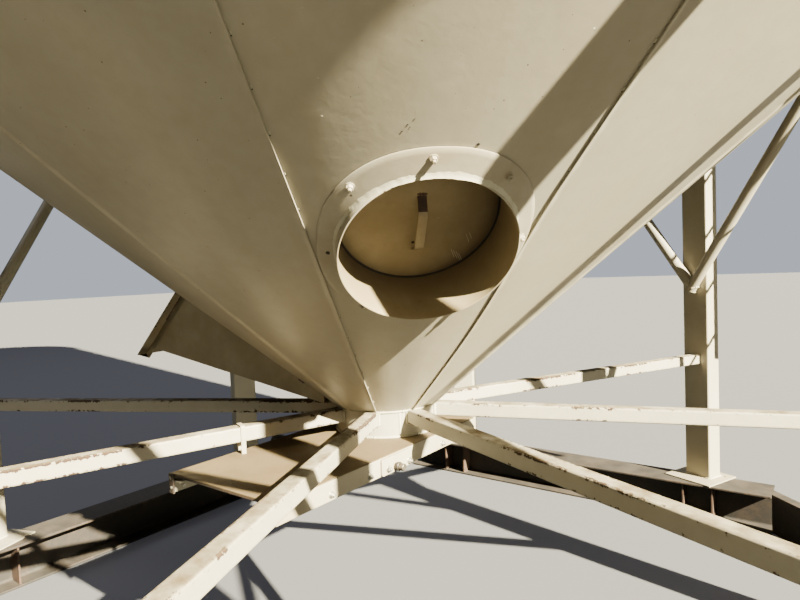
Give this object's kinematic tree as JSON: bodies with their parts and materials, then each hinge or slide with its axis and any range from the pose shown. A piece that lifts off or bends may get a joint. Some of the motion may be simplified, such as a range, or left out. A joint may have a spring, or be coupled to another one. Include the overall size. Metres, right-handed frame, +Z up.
{
  "type": "hopper bottom grain silo",
  "caption": "Smooth-wall grain silo with a hopper cone, legs and braces on a steel skid, a slide gate, an access port, an air transition, a conical roof and a ladder.",
  "frame": {"origin": "on the silo's vertical axis at ground level, under the skid", "axes": "+Z up; the skid's beams run along X and Y; the slide gate's tray points to -Y"},
  "size_m": [4.312, 4.312, 8.6775],
  "materials": {
    "cream_paint": "weathered satin paint over sheet steel",
    "skid_steel": "dark paint, rusted and dusty",
    "galvanised": "dull zinc",
    "bare_steel": "dark worn steel"
  },
  "bodies": {
    "silo": {"skid_beam_back": "skid_steel", "skid_beam_left": "skid_steel", "skid_beam_front": "skid_steel", "skid_beam_right": "skid_steel", "skid_corner_back_right": "skid_steel", "skid_corner_back_left": "skid_steel", "skid_corner_front_left": "skid_steel", "skid_corner_front_right": "skid_steel", "leg_1": "cream_paint", "leg_2": "cream_paint", "leg_3": "cream_paint", "leg_4": "cream_paint", "leg_5": "cream_paint", "leg_6": "cream_paint", "leg_7": "cream_paint", "leg_8": "cream_paint", "hub_brace_1": "cream_paint", "hub_brace_2": "cream_paint", "hub_brace_3": "cream_paint", "hub_brace_4": "cream_paint", "hub_brace_5": "cream_paint", "hub_brace_6": "cream_paint", "hub_brace_7": "cream_paint", "hub_brace_8": "cream_paint", "support_ring": "cream_paint", "hopper_front_left": "cream_paint", "hopper_front": "cream_paint", "hopper_right": "cream_paint", "hopper_back": "cream_paint", "hopper_left_back": "cream_paint", "hopper_left": "cream_paint", "access_port": "cream_paint", "access_cover": "cream_paint", "outlet_collar": "cream_paint", "gate_deck": "cream_paint", "gate_rail_near": "cream_paint", "gate_rail_far": "cream_paint", "tray_hanger": "cream_paint", "wall_right": "cream_paint", "wall_back": "cream_paint", "wall_left": "cream_paint", "wall_front": "cream_paint", "roof_right": "cream_paint", "roof_back": "cream_paint", "roof_left": "cream_paint", "roof_front": "cream_paint", "roof_neck": "cream_paint", "roof_lid": "cream_paint", "air_transition": "cream_paint", "ladder": "galvanised"},
    "gate": {"gate_plate": "galvanised"},
    "shaft": {"gate_shaft": "bare_steel"}
  },
  "joints": [
    {"name": "gate_slide", "type": "slide", "parent": "silo", "child": "gate", "axis": [0, -1, 0], "range_m": [0, 0.43]},
    {"name": "shaft_turn", "type": "hinge", "parent": "silo", "child": "shaft", "pos_m": [0, -0.278, 0.8], "axis": [1, 0, 0], "range_deg": [0, 1369]}
  ],
  "couplings": [
    {"joint": "shaft_turn", "follows": "gate_slide", "rad_per_m": 55.556}
  ]
}
